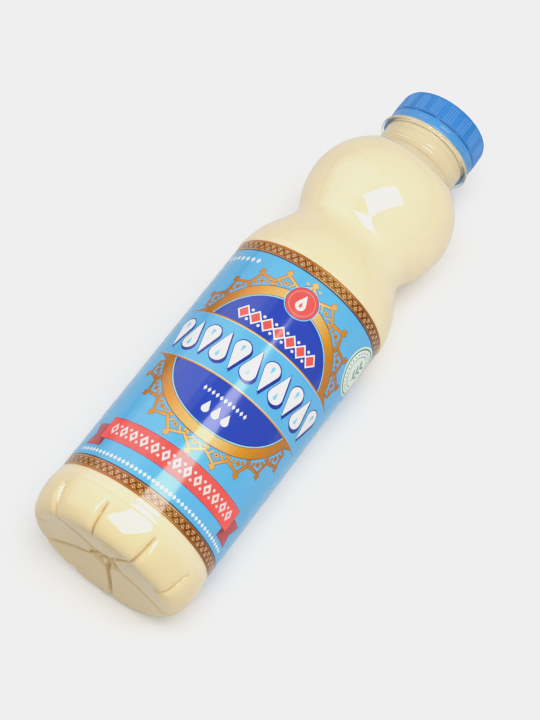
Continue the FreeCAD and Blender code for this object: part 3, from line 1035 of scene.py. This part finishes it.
def film(name, color, color2=None, rough=(0.16, 0.26), scale=40, metal=0.0):
    m = Mat("print_" + name)
    v = m.noise(scale, 3, 0.55)
    c2 = color2 or tuple(c * 0.94 for c in color)
    m.color(m.ramp(v, [(0.32, c2), (0.68, color)]))
    m.set(IOR=1.5, Metallic=metal)
    m.b.inputs["Specular IOR Level"].default_value = 0.0
    m.b.inputs["Coat Weight"].default_value = 1.0
    m.b.inputs["Coat IOR"].default_value = 1.42
    m.b.inputs["Coat Roughness"].default_value = 0.1
    m.rough(m.noise(130, 2), *rough)
    m.bump(m.noise(70, 3, 0.5, stretch=(1.0, 0.35, 1.0)), 0.12, 0.0006)
    return m.m


def metal_ink_painted_sheen(name, stops):
    """Bronze ink whose tone changes with the distance from the middle of the front: partly a printed metallic gradient,
    partly painted sheen near the front and painted reflection towards the far sides.
    """
    m = Mat("print_" + name)
    uv = m.n("ShaderNodeUVMap", uv_map="OFBake")
    sep = m.n("ShaderNodeSeparateXYZ")
    m.link(uv.outputs[0], sep.inputs[0])
    x = m.math("MULTIPLY", m.math("SUBTRACT", sep.outputs["X"], 0.5 + CX / (2 * HALF)), 2 * HALF / 60)
    f = m.math("ADD", m.math("ADD", m.math("MULTIPLY", x, 0.5), 0.5), m.math("MULTIPLY", m.math("SUBTRACT", m.noise(70, 3), 0.5), 0.05))
    m.color(m.ramp(f, [(0.5 + d / 120, c) for d, c in stops]))
    m.set(IOR=1.5, Metallic=0.0)
    m.b.inputs["Specular IOR Level"].default_value = 0.0
    m.b.inputs["Coat Weight"].default_value = 1.0
    m.b.inputs["Coat IOR"].default_value = 1.42
    m.b.inputs["Coat Roughness"].default_value = 0.1
    m.rough(m.noise(150, 2), 0.18, 0.3)
    m.bump(m.noise(70, 3, 0.5, stretch=(1.0, 0.35, 1.0)), 0.12, 0.0006)
    return m.m


def print_materials():
    return {
        "ground": film("light_blue", (0.115, 0.445, 0.765), (0.105, 0.425, 0.745)),
        "pale": film("pale_blue", (0.30, 0.66, 0.90)),
        "sky": film("sky_blue", (0.25, 0.58, 0.88)),
        "blue": film("deep_blue", (0.018, 0.056, 0.43), (0.026, 0.056, 0.40), scale=25),
        "navy": film("navy_shadow", (0.02, 0.035, 0.30)),
        "navyline": film("navy_line", (0.018, 0.04, 0.20)),
        "line": film("teal_line", (0.012, 0.07, 0.13)),
        "white": film("white", (0.88, 0.88, 0.87)),
        "cream": film("cream", (0.84, 0.68, 0.46)),
        # gold ink: the light stops at -7 and 6 are painted sheen, the lighter ends at 60 painted reflection; the rest
        # is the printed metallic gradient
        "gold": metal_ink_painted_sheen("gold", [(-60, (0.60, 0.26, 0.03)), (-36, (0.44, 0.15, 0.012)), (-26, (0.51, 0.18, 0.008)), (-17, (0.70, 0.28, 0.018)),
                                   (-7, (0.76, 0.46, 0.14)), (6, (0.78, 0.50, 0.18)), (16, (0.66, 0.28, 0.022)),
                                   (26, (0.50, 0.175, 0.006)), (36, (0.42, 0.14, 0.01)), (60, (0.58, 0.25, 0.03))]),
        "golddark": film("gold_edge", (0.20, 0.10, 0.035)),
        # bronze ink: the light stops at 0 and 9 are painted sheen; the rest is the printed metallic gradient
        "bronze": metal_ink_painted_sheen("bronze", [(-60, (0.50, 0.22, 0.05)), (-42, (0.60, 0.32, 0.09)), (-32, (0.64, 0.25, 0.035)), (-20, (0.58, 0.155, 0.010)),
                                       (-8, (0.46, 0.12, 0.006)), (0, (0.68, 0.32, 0.08)), (9, (0.68, 0.36, 0.10)),
                                       (18, (0.36, 0.10, 0.006)), (34, (0.30, 0.085, 0.01)), (60, (0.42, 0.17, 0.04))]),
        "umber": film("umber", (0.16, 0.035, 0.004), (0.09, 0.02, 0.003)),
        "tan": film("tan", (0.78, 0.42, 0.13), (0.66, 0.31, 0.07)),
        "red": film("coral_red", (0.985, 0.10, 0.085), (0.97, 0.09, 0.078)),
        "redlight": film("coral_light", (0.93, 0.35, 0.33)),
        "rose": film("rose_white", (0.90, 0.70, 0.68)),
        "maroon": film("maroon", (0.50, 0.055, 0.065)),
        "maroondark": film("maroon_dark", (0.22, 0.03, 0.04)),
        "maroonline": film("maroon_line", (0.26, 0.03, 0.05)),
        "seal": film("seal_white", (0.80, 0.87, 0.80)),
        "green": film("seal_green", (0.10, 0.31, 0.16)),
        "panel": film("panel_white", (0.72, 0.82, 0.88)),
        "back": film("film_back", (0.80, 0.80, 0.79)),
    }


# ------------------------------------------------------------------ pieces
shell = make_shell(clear_plastic())
fill = make_milk(milk())
cap = make_cap(cap_plastic())
label = make_label(print_materials())
for piece, node, slot in ((shell, "bottle_shell", "clear_plastic"), (fill, "condensed_milk", "condensed_milk"),
                          (cap, "screw_cap", "cap_plastic"), (label, "label", "label_film")):
    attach(piece, "root")
    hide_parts(node)

# ------------------------------------------------------------------ floor, lights, camera
fm = Mat("floor_pale")
path = fm.n("ShaderNodeLightPath")
seen = fm.math("MAXIMUM", path.outputs["Is Camera Ray"], path.outputs["Is Transmission Ray"])
unseen = fm.mix(path.outputs["Is Glossy Ray"], (0.76, 0.76, 0.76), (0.75, 0.75, 0.75))
fm.color(fm.mix(seen, unseen, fm.ramp(fm.noise(3, 2), [(0.3, (1.0, 1.0, 1.0)), (0.7, (1.01, 1.01, 1.01))])))
fm.set(Roughness=0.6)
fm.b.inputs["Specular IOR Level"].default_value = 0.2
s = 4.0
floor = new_object("floor", [(-s, -s, 0), (s, -s, 0), (s, s, 0), (-s, s, 0)], [(0, 1, 2, 3)], [fm.m], smooth_faces=False)

scene = bpy.context.scene
world = bpy.data.worlds.new("studio")
scene.world = world
world.use_nodes = True
bg = world.node_tree.nodes["Background"]
bg.inputs["Color"].default_value = (1.0, 1.0, 1.0, 1)
bg.inputs["Strength"].default_value = 0.27


def area(name, loc, target, size, power, roll=0.0, color=(1, 1, 1)):
    l = bpy.data.lights.new(name, "AREA")
    l.shape = "RECTANGLE"
    l.size, l.size_y = size
    l.energy = power
    l.color = color
    o = bpy.data.objects.new(name, l)
    d = (Vector(target) - Vector(loc)).normalized()
    q = d.to_track_quat("-Z", "Y").to_matrix().to_4x4()
    o.matrix_world = Matrix.Translation(loc) @ q @ Matrix.Rotation(roll, 4, "Z")
    scene.collection.objects.link(o)
    return o


sm = Mat("softbox_cloth")
sm.nt.nodes.remove(sm.b)
em = sm.n("ShaderNodeEmission")
spath = sm.n("ShaderNodeLightPath")
sm.link(sm.math("ADD", sm.math("MULTIPLY", spath.outputs["Is Glossy Ray"], 6.0), 5.6), em.inputs["Strength"])
sm.link(em.outputs[0], sm.nt.nodes["Material Output"].inputs["Surface"])
softbox = new_object("softbox", [(0.230, 0.411, 1.03), (0.785, 0.222, 1.03), (0.228, -0.520, 1.03), (-0.312, -0.277, 1.03)],
                     [(0, 1, 2, 3)], [sm.m], smooth_faces=False)
softbox.visible_camera = False
for name, loc, watts, gloss in (("fill_left", (-1.05, -0.05, 0.95), 5.5, True), ("fill_right", (1.15, 0.05, 0.75), 4.3, False)):
    lamp = area(name, loc, (0, 0, 0), (1.3, 1.3), watts)
    lamp.visible_glossy = gloss
sheen = area("sheen_left", (-1.04, 0.22, 0.94), (0, 0.22, 0), (1.3, 1.9), 6.0)
sheen.visible_diffuse = False
sheen.visible_transmission = False

# camera: position and axes about the upright bottle, in label radii
CAM_D, CAM_Z, CAM_F = 22.763, -6.4332, 2158.8
ROWS = ((0.99949627, -0.01446555, 0.02824807), (-0.03158069, -0.36524325, 0.93037628),
        (-0.00314099, -0.93079972, -0.36551609))
AX, BX = (0.59096, -0.80670), (0.80670, 0.59096)   # how the bottle's frame leans in the picture


def to_row(v, point=False):
    a = math.radians(TURN)
    x, y = math.cos(a) * v[0] - math.sin(a) * v[1], math.sin(a) * v[0] + math.cos(a) * v[1]
    z = v[2]
    out = Vector((x, -y * ST + z * CT, -y * CT - z * ST))
    return out + Vector((0, SHIFT, RISE)) if point else out


u_dir, v_dir, back_dir = (to_row(r) for r in ROWS)
right = u_dir * BX[0] + v_dir * AX[0]
up = -u_dir * BX[1] - v_dir * AX[1]
pos = to_row((0, -CAM_D * R_LABEL, LABEL_Z0 + CAM_Z * R_LABEL), True) / 1000
cam_data = bpy.data.cameras.new("camera")
cam = bpy.data.objects.new("camera", cam_data)
scene.collection.objects.link(cam)
mat = Matrix((right, up, back_dir)).transposed().to_4x4()
cam.matrix_world = Matrix.Translation(pos) @ mat
cam_data.sensor_width = 36.0
cam_data.sensor_fit = "VERTICAL"
cam_data.sensor_height = 36.0
cam_data.lens = CAM_F / 720 * 36.0
cam_data.clip_start = 0.01
scene.camera = cam

scene.view_settings.view_transform = "Standard"
scene.view_settings.look = "None"
scene.view_settings.exposure = 0.0
# the camera's soft shoulder: whites level off at a pale grey
scene.view_settings.use_curve_mapping = True
curves = scene.view_settings.curve_mapping
curves.use_clip = True
curves.clip_max_x, curves.clip_max_y = 2.0, 1.0
tone = curves.curves[3]
tone.points[1].location = (2.0, 0.875)
for x, y in ((0.35, 0.35), (0.70, 0.69), (0.82, 0.785), (0.95, 0.848), (1.15, 0.866)):
    tone.points.new(x, y)
curves.update()
